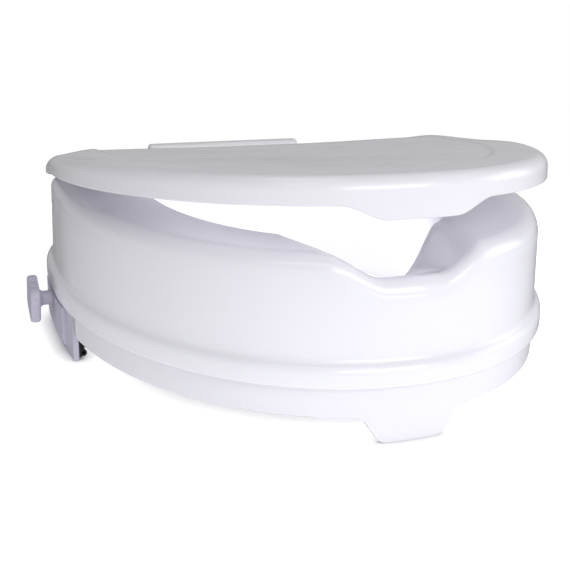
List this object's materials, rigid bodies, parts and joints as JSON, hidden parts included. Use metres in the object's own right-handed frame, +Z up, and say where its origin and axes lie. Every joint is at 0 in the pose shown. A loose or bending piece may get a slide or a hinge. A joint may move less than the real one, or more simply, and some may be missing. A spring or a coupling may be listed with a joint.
{
  "type": "raised toilet seat",
  "caption": "Raised toilet seat with a rear-hinged lid, open front channel, front locating tab and two screw clamps that grip the bowl.",
  "frame": {"origin": "on the floor, midway across and along the whole part, with the part standing on its front tab and clamp brackets", "axes": "+X to the right as seen from the front, -Y to the front, +Y to the hinge at the back, +Z up"},
  "size_m": [0.4042, 0.4226, 0.1652],
  "materials": {
    "seat_shell": "glossy white moulded polypropylene",
    "base_ring": "glossy white moulded polypropylene",
    "lid_shell": "glossy white moulded polypropylene",
    "hinge_block": "satin white moulded polypropylene",
    "hinge_pins": "natural acetal",
    "clamp_plastic": "satin light grey glass-filled nylon",
    "grip_rubber": "matt black moulded rubber",
    "soft_rubber": "matt light grey thermoplastic rubber",
    "steel_fasteners": "zinc-plated steel",
    "steel_thread": "stainless steel"
  },
  "bodies": {
    "seat": {"seat_body": "seat_shell", "base_ring": "base_ring", "base_screws": "steel_fasteners", "hinge_block": "hinge_block", "hinge_block_screws": "steel_fasteners", "hinge_pin_left": "hinge_pins", "hinge_pin_right": "hinge_pins", "rim_pad_front_left": "soft_rubber", "rim_pad_front_right": "soft_rubber", "rim_pad_rear_left": "soft_rubber", "rim_pad_rear_right": "soft_rubber", "clamp_nut_left": "steel_fasteners", "clamp_nut_right": "steel_fasteners"},
    "lid_body": {"lid": "lid_shell", "lid_bumper_front_left": "soft_rubber", "lid_bumper_front_right": "soft_rubber", "lid_bumper_rear_left": "soft_rubber", "lid_bumper_rear_right": "soft_rubber"},
    "bracket_left": {"clamp_bracket_left": "clamp_plastic", "grip_pad_left": "grip_rubber"},
    "knob_left": {"clamp_knob_left": "clamp_plastic", "clamp_spindle_left": "steel_thread", "clamp_washer_left": "steel_fasteners", "retaining_clip_left": "steel_fasteners"},
    "bracket_right": {"clamp_bracket_right": "clamp_plastic", "grip_pad_right": "grip_rubber"},
    "knob_right": {"clamp_knob_right": "clamp_plastic", "clamp_spindle_right": "steel_thread", "clamp_washer_right": "steel_fasteners", "retaining_clip_right": "steel_fasteners"}
  },
  "joints": [
    {"name": "lid_hinge", "type": "hinge", "parent": "seat", "child": "lid_body", "pos_m": [0, 0.19725, 0.1125], "axis": [-1, 0, 0], "range_deg": [-4.6, 95]},
    {"name": "bracket_left_slide", "type": "slide", "parent": "seat", "child": "bracket_left", "axis": [-1, 0, 0], "range_m": [0, 0.015]},
    {"name": "knob_left_turn", "type": "hinge", "parent": "bracket_left", "child": "knob_left", "pos_m": [-0.198, 0.04825, 0.0315], "axis": [-1, 0, 0], "range_deg": [0, 1800]},
    {"name": "bracket_right_slide", "type": "slide", "parent": "seat", "child": "bracket_right", "axis": [1, 0, 0], "range_m": [0, 0.015]},
    {"name": "knob_right_turn", "type": "hinge", "parent": "bracket_right", "child": "knob_right", "pos_m": [0.198, 0.04825, 0.0315], "axis": [1, 0, 0], "range_deg": [0, 1800]}
  ],
  "couplings": [
    {"joint": "knob_left_turn", "follows": "bracket_left_slide", "rad_per_m": 2094.4},
    {"joint": "knob_right_turn", "follows": "bracket_right_slide", "rad_per_m": 2094.4}
  ]
}
